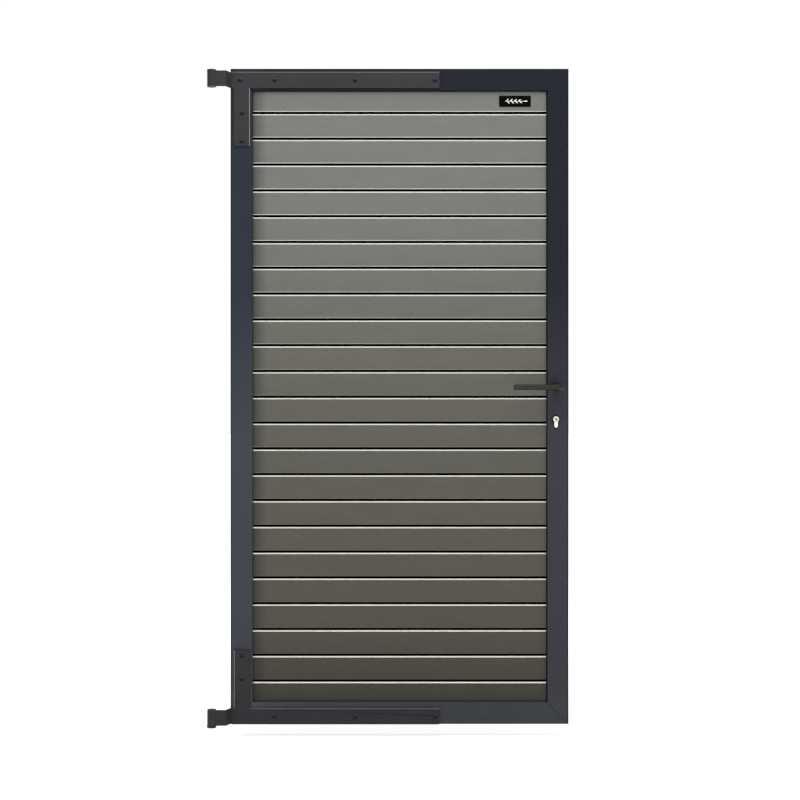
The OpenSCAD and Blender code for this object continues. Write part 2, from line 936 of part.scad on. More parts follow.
for (i = [1 : slat_count])
    slat(i);
lower_pintle();
upper_pintle();
pintle_washers();
hinge_stile();
lock_stile();
top_rail();
bottom_rail();
corner_cleats();
upper_hinge();
lower_hinge();
upper_hinge_bolts();
lower_hinge_bolts();
hinge_nuts();
lock_case();
lock_cover();
faceplate();
faceplate_screws();
latch_bolt();
latch_spring();
dead_bolt();
follower();
follower_spring();
lever_spindle();
front_lever();
rear_lever();
lever_grub_screws();
lever_bushes();
cylinder_body();
front_plug();
rear_plug();
cam();
key_pins();
driver_pins();
pin_springs();
cylinder_screw();
badge();
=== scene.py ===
"""Looks for the garden gate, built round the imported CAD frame."""

import json
import math

import bmesh
import bpy
from mathutils import Matrix, Vector

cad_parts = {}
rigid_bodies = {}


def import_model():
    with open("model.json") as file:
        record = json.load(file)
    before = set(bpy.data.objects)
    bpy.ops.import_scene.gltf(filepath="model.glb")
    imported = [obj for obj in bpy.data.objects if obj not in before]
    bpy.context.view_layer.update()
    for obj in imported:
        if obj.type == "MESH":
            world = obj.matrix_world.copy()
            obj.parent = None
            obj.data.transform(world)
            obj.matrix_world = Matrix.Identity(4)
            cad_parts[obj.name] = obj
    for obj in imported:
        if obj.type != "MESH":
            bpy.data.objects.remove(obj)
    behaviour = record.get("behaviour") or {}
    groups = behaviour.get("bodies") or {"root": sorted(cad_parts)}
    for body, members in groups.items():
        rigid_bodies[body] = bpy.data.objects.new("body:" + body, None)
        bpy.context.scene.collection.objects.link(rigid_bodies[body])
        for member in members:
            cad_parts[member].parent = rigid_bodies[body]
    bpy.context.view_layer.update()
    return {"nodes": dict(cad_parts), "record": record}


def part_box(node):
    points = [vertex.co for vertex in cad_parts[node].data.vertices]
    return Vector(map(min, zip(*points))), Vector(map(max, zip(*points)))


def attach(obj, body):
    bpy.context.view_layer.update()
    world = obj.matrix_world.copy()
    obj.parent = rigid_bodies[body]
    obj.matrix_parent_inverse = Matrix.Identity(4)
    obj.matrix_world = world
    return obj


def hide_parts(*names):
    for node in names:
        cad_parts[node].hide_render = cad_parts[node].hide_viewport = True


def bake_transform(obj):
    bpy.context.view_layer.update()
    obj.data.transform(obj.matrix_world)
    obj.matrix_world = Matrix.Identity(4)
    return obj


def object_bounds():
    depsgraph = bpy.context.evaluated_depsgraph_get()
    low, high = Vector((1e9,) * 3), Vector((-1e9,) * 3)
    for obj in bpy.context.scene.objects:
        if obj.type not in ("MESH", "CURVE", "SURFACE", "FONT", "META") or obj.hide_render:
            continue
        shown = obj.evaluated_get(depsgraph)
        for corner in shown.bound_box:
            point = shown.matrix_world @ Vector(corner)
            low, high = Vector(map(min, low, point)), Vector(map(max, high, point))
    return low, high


MM = 0.001

for old in list(bpy.data.objects):
    bpy.data.objects.remove(old, do_unlink=True)

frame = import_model()
NODES = frame["nodes"]


# ---- Node materials ----


def node(tree, kind, inputs=None, **settings):
    """Adds a node. Inputs are constants, or sockets to link from."""
    made = tree.nodes.new(kind)
    for key, value in settings.items():
        setattr(made, key, value)
    for key, value in (inputs or {}).items():
        if isinstance(value, bpy.types.NodeSocket):
            tree.links.new(value, made.inputs[key])
        else:
            made.inputs[key].default_value = value
    return made


def new_material(name):
    """A material with only a Principled shader, and its tree."""
    material = bpy.data.materials.new(name)
    material.use_nodes = True
    tree = material.node_tree
    tree.nodes.clear()
    shader = node(tree, "ShaderNodeBsdfPrincipled")
    node(tree, "ShaderNodeOutputMaterial", {"Surface": shader.outputs[0]})
    return material, tree, shader


def place(tree, scale=(1, 1, 1)):
    """Object coordinates, stretched."""
    coordinates = node(tree, "ShaderNodeTexCoord").outputs["Object"]
    return node(
        tree, "ShaderNodeMapping", {"Vector": coordinates, "Scale": scale}
    ).outputs[0]


def axis(tree, name):
    """One of the object coordinates."""
    coordinates = node(tree, "ShaderNodeTexCoord").outputs["Object"]
    return node(tree, "ShaderNodeSeparateXYZ", {0: coordinates}).outputs[name]


def noise(tree, vector, scale, detail=2.0, roughness=0.5, distortion=0.0):
    return node(
        tree,
        "ShaderNodeTexNoise",
        {
            "Vector": vector,
            "Scale": scale,
            "Detail": detail,
            "Roughness": roughness,
            "Distortion": distortion,
        },
    ).outputs["Fac"]


def ramp(tree, value, low, high, to_low=0.0, to_high=1.0):
    """Maps low..high to to_low..to_high, clamped."""
    return node(
        tree,
        "ShaderNodeMapRange",
        {
            "Value": value,
            "From Min": low,
            "From Max": high,
            "To Min": to_low,
            "To Max": to_high,
        },
    ).outputs[0]


def maths(tree, operation, a, b=0.0):
    return node(tree, "ShaderNodeMath", {0: a, 1: b}, operation=operation).outputs[0]


def mix(tree, factor, a, b, blend="MIX"):
    made = node(tree, "ShaderNodeMix", {0: factor}, data_type="RGBA", blend_type=blend)
    for index, value in ((6, a), (7, b)):
        if isinstance(value, bpy.types.NodeSocket):
            tree.links.new(value, made.inputs[index])
        else:
            made.inputs[index].default_value = value
    return made.outputs[2]


def rgb(red, green, blue):
    """A display colour, 0 to 255, as a linear one."""

    def linear(value):
        value /= 255
        return value / 12.92 if value <= 0.04045 else ((value + 0.055) / 1.055) ** 2.4

    return (linear(red), linear(green), linear(blue), 1.0)


def scaled(colour, factor):
    return tuple(min(1.0, c * factor) for c in colour[:3]) + (1.0,)


def spread(tree, texture, low=0.0, high=1.0):
    """Stretches the span that most of a noise lies in to low..high."""
    return ramp(tree, texture, 0.3, 0.7, low, high)


def grain(tree, scale):
    """Noise that is the same in every direction."""
    return noise(tree, place(tree), scale, 3.0, 0.6)


def mottled(tree, colour, texture, dark, pale):
    """A colour that a noise darkens and lightens."""
    return mix(tree, spread(tree, texture), scaled(colour, dark), scaled(colour, pale))


def bump(tree, height, distance):
    inputs = {"Height": height, "Distance": distance, "Strength": 1.0}
    return node(tree, "ShaderNodeBump", inputs).outputs[0]


def dress(tree, shader, colour, texture, roughness, relief, level=0.5, metallic=0.0):
    """Sets the colour, and a roughness and relief that follow one noise."""
    tree.links.new(colour, shader.inputs["Base Color"])
    tree.links.new(spread(tree, texture, *roughness), shader.inputs["Roughness"])
    tree.links.new(bump(tree, texture, relief), shader.inputs["Normal"])
    shader.inputs["Specular IOR Level"].default_value = level
    shader.inputs["Metallic"].default_value = metallic


def coat_roughness(rough):
    """Lowest and highest roughness of a coat."""
    return rough - 0.05, rough + 0.06


# Noise scales, in features to a metre
MOTTLE = 5.0
SPECKLE = 1300.0
PEEL = 420.0
PLATE_PEEL = 300.0

# Heights of the relief
PEEL_DEPTH = 0.03 * MM
PLATE_PEEL_DEPTH = 0.045 * MM
TOOL_MARK_DEPTH = 0.012 * MM


def speckled(tree, body, amount, colour):
    """Adds the pale speckle of powder coat."""
    speckle = noise(tree, place(tree), SPECKLE, 1.0)
    return mix(tree, ramp(tree, speckle, 0.55, 0.8, 0.0, amount), body, colour)


def powder_coat(name, colour, rough, level):
    """Powder coat: orange peel, faint mottling and a fine speckle."""
    material, tree, shader = new_material(name)
    mottle = noise(tree, place(tree), MOTTLE, 4.0, 0.6)
    body = mottled(tree, colour, mottle, 0.93, 1.07)
    body = speckled(tree, body, 0.12, scaled(colour, 2.2))
    peel = grain(tree, PLATE_PEEL)
    dress(tree, shader, body, peel, coat_roughness(rough), PLATE_PEEL_DEPTH, level)
    return material


def brushed_metal(name, colour, rough, metallic=1.0):
    """Bare metal with fine tool marks and a few stains."""
    material, tree, shader = new_material(name)
    marks = noise(tree, place(tree), 900.0, 4.0, 0.65)
    stain = noise(tree, place(tree), 60.0, 4.0, 0.6)
    body = mix(
        tree, ramp(tree, marks, 0.25, 0.75), scaled(colour, 0.88), scaled(colour, 1.06)
    )
    body = mix(tree, ramp(tree, stain, 0.5, 0.8, 0.0, 0.25), body, scaled(colour, 0.7))
    roughness = (rough - 0.05, rough + 0.08)
    dress(tree, shader, body, marks, roughness, TOOL_MARK_DEPTH, metallic=metallic)
    return material


def barrel_metal(name, warm, bright):
    """Satin nickel, with painted reflection and light: warm round the plug, and brighter
    down the web.
    """
    material, tree, shader = new_material(name)
    low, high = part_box("cylinder_body")
    radius = (high.x - low.x) / 2
    web_top = high.z - 2 * radius
    part = ramp(tree, axis(tree, "Z"), web_top - 1 * MM, web_top + 3 * MM)
    marks = noise(tree, place(tree, (1, 1, 8)), 700.0, 4.0, 0.65)
    body = mix(tree, part, bright, warm)
    body = mix(tree, ramp(tree, marks, 0.4, 0.75, 0.0, 0.25), body, scaled(warm, 0.75))
    dress(tree, shader, body, marks, (0.26, 0.4), TOOL_MARK_DEPTH, metallic=0.15)
    return material


def moulded(name, colour, rough, level=0.5):
    """Moulded plastic: a fine spark-eroded texture."""
    material, tree, shader = new_material(name)
    texture = noise(tree, place(tree), 1600.0, 2.0, 0.6)
    cloud = noise(tree, place(tree), 30.0, 3.0)
    body = mottled(tree, colour, cloud, 0.9, 1.1)
    roughness = (rough - 0.04, rough + 0.06)
    dress(tree, shader, body, texture, roughness, 0.015 * MM, level)
    return material


stile_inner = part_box("hinge_stile")[1].x
leaf_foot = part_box("bottom_rail")[0].z
leaf_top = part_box("top_rail")[1].z
leaf_mid_z = (leaf_foot + leaf_top) / 2

# Frame tones: painted shade at the head, painted light at the foot, and a lift along the
# hinge stile
COAT_HEAD = rgb(24, 29, 36)
COAT_SHOULDER = rgb(35, 37, 45)
COAT_FOOT = rgb(60, 62, 67)
COAT_LIFT = rgb(24, 29, 34)
# Painted light added along the sole, far from the hinge and by it
SOLE_LIGHT = rgb(21, 21, 20)
HINGE_SOLE_LIGHT = rgb(44, 43, 41)


def frame_coat(name, rough, level):
    """Anthracite powder coat, with painted shade darkening the head and painted light
    paling the foot and lifting the sole; it is also paler along the hinge stile.
    """
    material, tree, shader = new_material(name)
    height = axis(tree, "Z")
    foot_end, head_start = 0.42 * leaf_top, 0.66 * leaf_top
    lift_reach, sole_lift_reach = 0.06, 0.62
    upper = ramp(tree, height, foot_end, head_start)
    head = ramp(tree, height, head_start, leaf_top)
    near_hinge = ramp(
        tree, axis(tree, "X"), stile_inner, stile_inner + lift_reach, 1.0, 0.0
    )
    body = mix(tree, upper, COAT_FOOT, COAT_SHOULDER)
    body = mix(tree, head, body, COAT_HEAD)
    body = mix(tree, near_hinge, body, COAT_LIFT, "ADD")
    # Painted light lifting the sole, most by the hinge
    sole = ramp(tree, height, 0.02, 0.1, 1.0, 0.0)
    hinge_side = ramp(
        tree, axis(tree, "X"), stile_inner, stile_inner + sole_lift_reach, 1.0, 0.0
    )
    sole_lift = mix(tree, hinge_side, SOLE_LIGHT, HINGE_SOLE_LIGHT)
    body = mix(tree, sole, body, sole_lift, "ADD")
    mottle = noise(tree, place(tree), MOTTLE, 4.0, 0.6)
    body = mix(tree, spread(tree, mottle, 0.0, 0.12), body, rgb(10, 12, 16))
    body = speckled(tree, body, 0.1, rgb(110, 112, 118))
    peel = grain(tree, PEEL)
    dress(tree, shader, body, peel, coat_roughness(rough), PEEL_DEPTH, level)
    return material


def facing(tree, name):
    """One of the parts of the surface normal, in the object's own frame."""
    normal = node(tree, "ShaderNodeTexCoord").outputs["Normal"]
    return node(tree, "ShaderNodeSeparateXYZ", {0: normal}).outputs[name]


def band(tree, name, low, high):
    """1 between two object coordinates on an axis, and 0 outside them."""
    along = axis(tree, name)
    blur = 0.3 * MM
    return maths(
        tree,
        "MULTIPLY",
        ramp(tree, along, low - blur, low),
        ramp(tree, along, high, high + blur, 1.0, 0.0),
    )


# Width of a hinge plate's arm, and the outer side of its upright
PLATE_ARM = 47 * MM
PLATE_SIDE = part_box("hinge_stile")[0].x + 10 * MM


def plate_coat(name, plate, colour, lit, rough, level):
    """Powder coat, with painted highlights as pale lines along the top of its arm and one
    side of its upright.
    """
    material, tree, shader = new_material(name)
    low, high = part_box(plate)
    upper = low.z > leaf_mid_z
    top = high.z if upper else low.z + PLATE_ARM
    inner = PLATE_SIDE + PLATE_ARM
    crown_width, half_line, crown_start = 2.2 * MM, 1.3 * MM, PLATE_SIDE - 6 * MM
    crown = maths(
        tree,
        "MULTIPLY",
        band(tree, "Z", top - crown_width, top + 1 * MM),
        band(tree, "X", crown_start if upper else inner, high.x),
    )
    edge = inner - half_line if upper else PLATE_SIDE + half_line
    foot = low.z if upper else low.z + PLATE_ARM
    upright = maths(
        tree,
        "MULTIPLY",
        band(tree, "X", edge - half_line, edge + half_line),
        band(tree, "Z", foot, high.z - PLATE_ARM if upper else high.z),
    )
    patches = grain(tree, 60.0)
    # Painted highlights, broken up by a noise
    highlights = maths(
        tree,
        "MULTIPLY",
        maths(tree, "MAXIMUM", maths(tree, "MULTIPLY", crown, 0.75), upright),
        ramp(tree, patches, 0.3, 0.6, 0.65, 1.0),
    )
    mottle = noise(tree, place(tree), MOTTLE, 4.0, 0.6)
    body = mix(tree, highlights, mottled(tree, colour, mottle, 0.93, 1.07), lit)
    peel = grain(tree, PLATE_PEEL)
    dress(tree, shader, body, peel, coat_roughness(rough), PLATE_PEEL_DEPTH, level)
    return material


def rim_coat(name, dark, pale, rough, level):
    """Arris of the frame: painted shade makes it near black, and painted light makes it
    paler where it faces up near the foot.
    """
    material, tree, shader = new_material(name)
    # Painted light on the arris where it faces up near the foot
    upward_light = maths(
        tree,
        "MULTIPLY",
        ramp(tree, facing(tree, "Z"), 0.1, 0.5),
        ramp(tree, axis(tree, "Z"), 0.1, 0.3, 1.0, 0.0),
    )
    body = mix(tree, upward_light, dark, pale)
    peel = grain(tree, PEEL)
    dress(tree, shader, body, peel, coat_roughness(rough), PEEL_DEPTH, level)
    return material


def bolt_coat(name, colour, under, rough, level):
    """Coated bolt head, with painted shade darkening the underside of its dome."""
    material, tree, shader = new_material(name)
    # Painted shade on the lower side of the dome
    unshaded = ramp(tree, facing(tree, "Z"), -0.25, 0.2)
    body = mix(tree, unshaded, under, colour)
    texture = grain(tree, 600.0)
    dress(tree, shader, body, texture, coat_roughness(rough), 0.02 * MM, level)
    return material


def lever_coat(name, colour, rough, level):
    """Fine dark coat, with painted shade making it deep black above and below the grip's
    face.
    """
    material, tree, shader = new_material(name)
    low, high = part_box("front_lever")
    middle = (low.z + high.z) / 2
    off = maths(tree, "ABSOLUTE", maths(tree, "SUBTRACT", axis(tree, "Z"), middle))
    # Painted shade: black above and below the grip's face
    lit = ramp(tree, off, 5.2 * MM, 7.6 * MM, 1.0, 0.0)
    cloud = noise(tree, place(tree), 45.0, 4.0, 0.6)
    body = mix(tree, lit, rgb(14, 12, 12), colour)
    body = mix(tree, 1.0, body, spread(tree, cloud, 0.9, 1.08), "MULTIPLY")
    texture = grain(tree, 900.0)
    dress(tree, shader, body, texture, coat_roughness(rough), TOOL_MARK_DEPTH, level)
    return material


# Painted light and shade of the boards, from the top to the foot
SLAT_TOP = rgb(111, 112, 107)
SLAT_WAIST = rgb(94, 93, 84)
SLAT_FOOT = rgb(67, 63, 51)


def slat_material(name, level, grain_depth, low_gain=1.0, high_gain=1.0, shaded=0.45):
    """Satin board: long grain streaks, and painted shade: paler at the top, darker and
    warmer towards the foot, darker still at the foot and by the hinge stile.
    """
    material, tree, shader = new_material(name)
    height = axis(tree, "Z")
    waist, shoulder = 0.48 * leaf_top, 0.76 * leaf_top
    lower = ramp(tree, height, 0.0, waist)
    upper = ramp(tree, height, waist, shoulder)
    body = mix(tree, lower, scaled(SLAT_FOOT, low_gain), scaled(SLAT_WAIST, low_gain))
    body = mix(tree, upper, body, scaled(SLAT_TOP, high_gain))
    streak = noise(tree, place(tree, (5, 160, 160)), 6.0, 5.0, 0.62, 0.4)
    fine = noise(tree, place(tree, (18, 600, 600)), 5.0, 3.0, 0.6)
    cloud = noise(tree, place(tree, (3, 3, 14)), 2.2, 3.0, 0.55)
    shadow = ramp(tree, axis(tree, "X"), stile_inner, stile_inner + 0.04, shaded, 1.0)
    # Painted shade, darkening the lowest boards
    foot_shade = ramp(tree, height, 0.0, 0.14 * leaf_top, 0.6, 1.0)
    streaks = spread(tree, streak, 1.06, 0.9)
    fibres = ramp(tree, fine, 0.3, 0.8, 0.97, 1.06)
    patches = spread(tree, cloud, 0.96, 1.04)
    for shade_of in (shadow, foot_shade, streaks, fibres, patches):
        body = mix(tree, 1.0, body, shade_of, "MULTIPLY")
    tree.links.new(body, shader.inputs["Base Color"])
    tree.links.new(spread(tree, streak, 0.32, 0.43), shader.inputs["Roughness"])
    relief = maths(tree, "ADD", streak, maths(tree, "MULTIPLY", fine, 0.4))
    tree.links.new(bump(tree, relief, grain_depth), shader.inputs["Normal"])
    shader.inputs["Specular IOR Level"].default_value = level
    return material


def edge_material(name, colour, rough, metal):
    """The upper arris of a board, painted near white as a painted highlight."""
    material, tree, shader = new_material(name)
    streak = noise(tree, place(tree, (4, 90, 90)), 7.0, 4.0, 0.6)
    body = mix(tree, ramp(tree, streak, 0.3, 0.75), colour, scaled(colour, 0.82))
    tree.links.new(body, shader.inputs["Base Color"])
    shader.inputs["Metallic"].default_value = metal
    tree.links.new(spread(tree, streak, rough, rough + 0.1), shader.inputs["Roughness"])
    return material


# Colour, painted highlight colour, roughness and specular level of the hinge plates
PLATE_LOOK = (rgb(50, 47, 51), rgb(118, 114, 119), 0.45, 0.15)

MATERIALS = {
    "frame": frame_coat("frame_coat", 0.52, 0.1),
    # Painted shade: the frame's arris near black, with painted light where it faces up
    # near the foot
    "frame_rim": rim_coat("frame_rim", rgb(5, 5, 6), rgb(66, 67, 69), 0.7, 0.02),
    "hinge": powder_coat("hinge_coat", rgb(50, 47, 51), 0.45, 0.15),
    "upper_plate": plate_coat("upper_plate", "upper_hinge", *PLATE_LOOK),
    "lower_plate": plate_coat("lower_plate", "lower_hinge", *PLATE_LOOK),
    "bolt": bolt_coat("bolt_coat", rgb(56, 52, 56), rgb(3, 3, 3), 0.4, 0.2),
    "lever": lever_coat("lever_coat", rgb(46, 42, 41), 0.42, 0.2),
    "zinc": brushed_metal("zinc", rgb(168, 170, 172), 0.38),
    "steel": brushed_metal("steel", rgb(188, 188, 190), 0.28),
    "spring": brushed_metal("spring_steel", rgb(150, 150, 154), 0.25),
    "nickel": brushed_metal("nickel", rgb(236, 230, 212), 0.24),
    "nylon": moulded("nylon", rgb(34, 34, 36), 0.5),
    "badge": moulded("badge_plate", rgb(3, 3, 4), 0.5, 0.04),
    "mark": moulded("badge_mark", rgb(244, 244, 242), 0.4),
    "slat": slat_material("slat_face", 0.3, 0.03 * MM),
    # Painted highlight on the lower arris: the board's material made brighter, with no
    # painted shadow by the hinge
    "arris": slat_material("slat_arris", 0.3, 0.02 * MM, 1.6, 4.0, 1.0),
    # Painted highlight on the upper arris of each board
    "edge": edge_material("slat_edge", rgb(248, 248, 245), 0.34, 0.3),
    # Painted shade: the tongue, groove and hidden faces of a board near black
    "joint": moulded("slat_joint", rgb(2, 2, 2), 0.9, 0.0),
    "rubber": moulded("seal_rubber", rgb(4, 4, 5), 0.9, 0.02),
    # Painted shade inside the keyways
    "dark": moulded("keyway_dark", rgb(18, 14, 8), 0.8, 0.05),
    # Painted reflection and light: a warm tint round the plug and white down the web; the
    # plug face has the same warm painted reflection
    "barrel": barrel_metal("barrel_metal", rgb(232, 226, 201), rgb(255, 255, 255)),
    "plug": brushed_metal("plug_metal", rgb(234, 227, 200), 0.3, metallic=0.15),
}

SLOT_LOOK = {
    "frame_coat": "frame",
    "slat": "slat",
    "black_coat": "hinge",
    "zinc": "zinc",
    "steel": "steel",
    "spring_steel": "spring",
    "nickel": "nickel",
    "nylon": "nylon",
    "badge_plate": "badge",
}
NODE_LOOK = {
    "front_lever": "lever",
    "rear_lever": "lever",
    "cylinder_body": "barrel",
    "front_plug": "plug",
    "rear_plug": "plug",
    "upper_hinge_bolts": "bolt",
    "lower_hinge_bolts": "bolt",
    "upper_hinge": "upper_plate",
    "lower_hinge": "lower_plate",
}


# ---- CAD nodes: softened edges and better materials ----


def modifier_group(name):
    """A geometry-node group with its input and output nodes."""
    group = bpy.data.node_groups.new(name, "GeometryNodeTree")
    group.is_modifier = True
    for direction in ("INPUT", "OUTPUT"):
        group.interface.new_socket(
            "Geometry", in_out=direction, socket_type="NodeSocketGeometry"
        )
    return group, group.nodes.new("NodeGroupInput"), group.nodes.new("NodeGroupOutput")


SMOOTH_BELOW = math.radians(38)
SHARP_ABOVE = math.radians(40)


def smoothing():
    """Geometry nodes that shade a mesh smooth, apart from its sharp edges."""
    group, start, end = modifier_group("smooth_by_angle")
    faces = node(
        group,
        "GeometryNodeSetShadeSmooth",
        {"Geometry": start.outputs[0], "Shade Smooth": True},
        domain="FACE",
    )
    angle = node(group, "GeometryNodeInputMeshEdgeAngle").outputs[0]
    shallow = node(
        group,
        "FunctionNodeCompare",
        {"A": angle, "B": SMOOTH_BELOW},
        data_type="FLOAT",
        operation="LESS_THAN",
    )
    edges = node(
        group,
        "GeometryNodeSetShadeSmooth",
        {"Geometry": faces.outputs[0], "Shade Smooth": shallow.outputs[0]},
        domain="EDGE",
    )
    group.links.new(edges.outputs[0], end.inputs[0])
    return group


SMOOTHING = smoothing()


def edge_weights(name, front, rest):
    """Geometry nodes that give the sharp edges in the front plane the full bevel.

    The other sharp edges, and a mitre's slanting ones, get only the share called rest."""
    group, start, end = modifier_group(name)
    in_plane = 0.1 * MM
    slanting = 20 * MM
    angle = node(group, "GeometryNodeInputMeshEdgeAngle").outputs[0]
    sharp = maths(group, "GREATER_THAN", angle, SHARP_ABOVE)
    ends = node(group, "GeometryNodeInputMeshEdgeVertices")
    first = node(group, "ShaderNodeSeparateXYZ", {0: ends.outputs[2]}).outputs
    last = node(group, "ShaderNodeSeparateXYZ", {0: ends.outputs[3]}).outputs
    depths = [maths(group, "SUBTRACT", point["Y"], front) for point in (first, last)]
    off_front = maths(
        group, "ADD", *[maths(group, "ABSOLUTE", depth) for depth in depths]
    )
    in_front = maths(group, "LESS_THAN", off_front, in_plane)
    along_x = maths(group, "ABSOLUTE", maths(group, "SUBTRACT", last["X"], first["X"]))
    along_z = maths(group, "ABSOLUTE", maths(group, "SUBTRACT", last["Z"], first["Z"]))
    shorter = maths(group, "MINIMUM", along_x, along_z)
    slant = maths(group, "GREATER_THAN", shorter, slanting)
    full = maths(group, "MULTIPLY", in_front, maths(group, "SUBTRACT", 1.0, slant))
    share = ramp(group, full, 0.0, 1.0, rest, 1.0)
    store = node(
        group,
        "GeometryNodeStoreNamedAttribute",
        {
            "Geometry": start.outputs[0],
            "Name": "bevel_weight_edge",
            "Value": maths(group, "MULTIPLY", sharp, share),
        },
        data_type="FLOAT",
        domain="EDGE",
    )
    group.links.new(store.outputs[0], end.inputs[0])
    return group


def shade(piece):
    piece.modifiers.new("smooth", "NODES").node_group = SMOOTHING
    weighted = piece.modifiers.new("weighted", "WEIGHTED_NORMAL")
    weighted.keep_sharp = True
    weighted.weight = 80


def soften(piece, width, weights=None, rim=None):
    """Welds the imported mesh, joins its flat faces and rounds its edges."""
    weld = piece.modifiers.new("weld", "WELD")
    weld.merge_threshold = 0.002 * MM
    flat = piece.modifiers.new("flat", "DECIMATE")
    flat.decimate_type = "DISSOLVE"
    flat.angle_limit = math.radians(0.3)
    if weights:
        piece.modifiers.new("weights", "NODES").node_group = weights
    if width > 0:
        bevel = piece.modifiers.new("bevel", "BEVEL")
        bevel.width = width
        bevel.segments = 2
        bevel.limit_method = "ANGLE"
        bevel.angle_limit = SHARP_ABOVE
        bevel.use_clamp_overlap = False
        bevel.miter_outer = "MITER_ARC"
        if weights:
            bevel.limit_method = "WEIGHT"
        if rim:
            piece.data.materials.append(MATERIALS[rim])
            bevel.material = len(piece.data.materials) - 1
    shade(piece)


EDGE_ROUND = {
    "black_coat": 0.5 * MM,
    "zinc": 0.25 * MM,
    "steel": 0.12 * MM,
    "nickel": 0.15 * MM,
    "nylon": 0.2 * MM,
    "badge_plate": 0.4 * MM,
}

# Bevels, and the share of the frame's that goes to edges off its front
FRAME_EDGE = 2.8 * MM
OTHER_EDGES = 0.07
FRAME_WEIGHTS = edge_weights("frame_edges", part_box("hinge_stile")[0].y, OTHER_EDGES)
PLATE_EDGE = 0.6 * MM
PLATES = ("upper_hinge", "lower_hinge")

for name, piece in NODES.items():
    slot = piece.data.materials[0].name
    look = NODE_LOOK.get(name, SLOT_LOOK[slot])
    for index in range(len(piece.material_slots)):
        piece.material_slots[index].link = "OBJECT"
        piece.material_slots[index].material = MATERIALS[look]
    if slot == "frame_coat":
        soften(piece, FRAME_EDGE, FRAME_WEIGHTS, "frame_rim")
    elif name in PLATES:
        soften(piece, PLATE_EDGE)
    else:
        soften(piece, EDGE_ROUND.get(slot, 0))


# ---- Mesh pieces ----


def new_piece(name, mesh):
    piece = bpy.data.objects.new(name, mesh)
    bpy.context.scene.collection.objects.link(piece)
    return piece


def add_mesh(name, points, faces, body, materials, face_materials=None):
    """Makes a piece of plain points and faces."""
    mesh = bpy.data.meshes.new(name)
    mesh.from_pydata(points, [], faces)
    for material in materials:
        mesh.materials.append(MATERIALS[material])
    if face_materials:
        mesh.polygons.foreach_set("material_index", face_materials)
    mesh.update()
    fixed = bmesh.new()
    fixed.from_mesh(mesh)
    bmesh.ops.recalc_face_normals(fixed, faces=fixed.faces)
    fixed.to_mesh(mesh)
    fixed.free()
    piece = new_piece(name, mesh)
    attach(piece, body)
    return piece


def rounded(corners, steps=4):
    """Outline with rounded corners, and a tag for each edge that starts at a point.

    A corner is (x, y, radius, tag of the edge that follows it)."""
    points, tags = [], []
    count = len(corners)
    for index, (x, y, radius, tag) in enumerate(corners):
        here = Vector((x, y))
        before = Vector(corners[index - 1][:2]) - here
        after = Vector(corners[(index + 1) % count][:2]) - here
        if radius <= 0:
            points.append(here)
            tags.append(tag)
            continue
        half = before.angle(after) / 2
        reach = radius / math.tan(half)
        centre = here + (before.normalized() + after.normalized()).normalized() * (
            radius / math.sin(half)
        )
        first = here + before.normalized() * reach - centre
        last = here + after.normalized() * reach - centre
        turn = first.angle_signed(last)
        for step in range(steps + 1):
            spun = Matrix.Rotation(-turn * step / steps, 2) @ first
            points.append(centre + spun)
            tags.append(tag if step == steps else (tag, corners[index - 1][3]))
    return points, tags


def prism(outline, low, high):
    """Points and faces of an outline in Y and Z, run along X."""
    count = len(outline)
    points = [(x, p.x, p.y) for x in (low, high) for p in outline]
    sides = [
        (i, (i + 1) % count, count + (i + 1) % count, count + i) for i in range(count)
    ]
    return points, sides + [tuple(range(count)), tuple(range(count, 2 * count))]


FACE, EDGE, JOINT, ARRIS = 0, 1, 2, 3


def board_outline(low, high, with_tongue):
    """Section of a board, from the CAD's slat box. Y is depth and Z height."""
    front, back = low.y, high.y
    foot = low.z
    tongue_up = 9.8 * MM if with_tongue else 0.0
    tip_soft = 0.4 * MM
    wider_joint = 1.2 * MM
    top = high.z - tongue_up - wider_joint
    middle = (front + back) / 2
    groove = 3.3 * MM
    groove_top = foot + 5 * MM
    tongue = 3 * MM
    bevel = 3.4 * MM
    lower = 1.4 * MM
    back_bevel = 1 * MM
    soft = 0.5 * MM
    back_soft = 0.3 * MM
    corners = [
        (front, foot + lower, soft, FACE),
        (front, top - bevel, soft, EDGE),
        (front + bevel, top, soft, JOINT),
    ]
    if with_tongue:
        corners += [
            (middle - tongue, top, 0, JOINT),
            (middle - tongue, high.z, tip_soft, JOINT),
            (middle + tongue, high.z, tip_soft, JOINT),
            (middle + tongue, top, 0, JOINT),
        ]
    corners += [
        (back - back_bevel, top, back_soft, FACE),
        (back, top - back_bevel, back_soft, FACE),
        (back, foot + back_bevel, back_soft, FACE),
        (back - back_bevel, foot, back_soft, JOINT),
        (middle + groove, foot, 0, JOINT),
        (middle + groove, groove_top, 0, JOINT),
        (middle - groove, groove_top, 0, JOINT),
        (middle - groove, foot, 0, JOINT),
        (front + lower, foot, soft * 0.6, ARRIS),
    ]
    return rounded(corners, 3)


def build_board(name, with_tongue):
    """Draws a slat again, with rounded arrises, and its joint faces painted near black as
    painted shade.
    """
    low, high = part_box(name)
    outline, tags = board_outline(low, high, with_tongue)
    points, faces = prism(outline, low.x, high.x)
    looks = []
    for tag in tags:
        pair = tag if isinstance(tag, tuple) else (tag,)
        looks.append(EDGE if EDGE in pair else ARRIS if ARRIS in pair else pair[0])
    looks += [JOINT, JOINT]
    board = add_mesh(
        name + "_board",
        points,
        faces,
        "leaf",
        ["slat", "edge", "joint", "arris"],
        looks,
    )
    shade(board)
    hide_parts(name)


slats = sorted(n for n in NODES if n.startswith("slat_"))
for name in slats:
    build_board(name, name != slats[0])


# ---- Seal, threads, badge mark, keyways and latch coil ----


